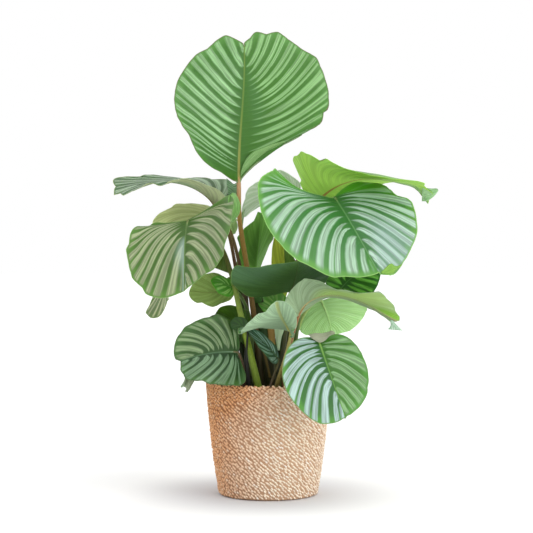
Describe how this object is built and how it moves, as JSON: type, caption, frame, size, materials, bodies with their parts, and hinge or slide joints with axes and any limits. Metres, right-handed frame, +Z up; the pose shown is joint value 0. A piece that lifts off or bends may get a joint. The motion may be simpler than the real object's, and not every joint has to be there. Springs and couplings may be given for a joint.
{
  "type": "round-leaved calathea in a woven basket",
  "caption": "Potted prayer plant with round striped leaves on slim stalks, standing in a nursery pot inside a woven basket.",
  "frame": {"origin": "centre of the basket's underside, on the floor", "axes": "+Z up, -Y towards the front that the picture shows, +X to the picture's right"},
  "size_m": [0.5223, 0.3479, 0.7373],
  "materials": {
    "leaf_striped": "satin green leaf with paler silver-green bands between its veins",
    "leaf_pale_underside": "matt grey-green underside with fine ribs",
    "leaf_olive": "satin olive underside",
    "leaf_bright": "yellow-green underside with light shining through",
    "leaf_dark": "satin dark green leaf",
    "stalk_green": "satin green",
    "stalk_brown": "satin brown",
    "stalk_tan": "satin pinkish tan",
    "stalk_dark": "satin maroon black",
    "basket_weave": "matt woven seagrass",
    "pot_plastic": "matt black plastic",
    "soil": "crumbly dark potting soil"
  },
  "bodies": {
    "root": {"top_blade": "leaf_striped", "top_stalk": "stalk_tan", "far_left_blade": "leaf_pale_underside", "far_left_stalk": "stalk_brown", "big_left_blade": "leaf_striped", "big_left_stalk": "stalk_green", "left_behind_blade": "leaf_olive", "left_behind_stalk": "stalk_brown", "small_back_blade": "leaf_pale_underside", "small_back_stalk": "stalk_green", "upper_right_blade": "leaf_bright", "upper_right_stalk": "stalk_brown", "big_right_blade": "leaf_striped", "big_right_stalk": "stalk_green", "middle_blade": "leaf_dark", "middle_stalk": "stalk_green", "narrow_back_blade": "leaf_striped", "narrow_back_stalk": "stalk_green", "rolled_young_blade": "leaf_bright", "rolled_young_stalk": "stalk_green", "under_right_blade": "leaf_dark", "under_right_stalk": "stalk_green", "arching_right_blade": "leaf_pale_underside", "arching_right_stalk": "stalk_brown", "lower_right_back_blade": "leaf_bright", "lower_right_back_stalk": "stalk_green", "left_pointing_blade": "leaf_pale_underside", "left_pointing_stalk": "stalk_green", "lower_left_blade": "leaf_dark", "lower_left_stalk": "stalk_brown", "lower_right_blade": "leaf_striped", "lower_right_stalk": "stalk_green", "folded_young_blade": "leaf_dark", "folded_young_stalk": "stalk_brown", "behind_lower_left_blade": "leaf_striped", "behind_lower_left_stalk": "stalk_dark", "under_left_blade": "leaf_olive", "under_left_stalk": "stalk_green", "small_under_left_blade": "leaf_bright", "small_under_left_stalk": "stalk_green", "hanging_lower_left_blade": "leaf_pale_underside", "hanging_lower_left_stalk": "stalk_dark", "small_dark_blade": "leaf_dark", "small_dark_stalk": "stalk_dark", "small_middle_blade": "leaf_bright", "small_middle_stalk": "stalk_green", "basket": "basket_weave", "nursery_pot": "pot_plastic", "soil": "soil"}
  },
  "joints": []
}
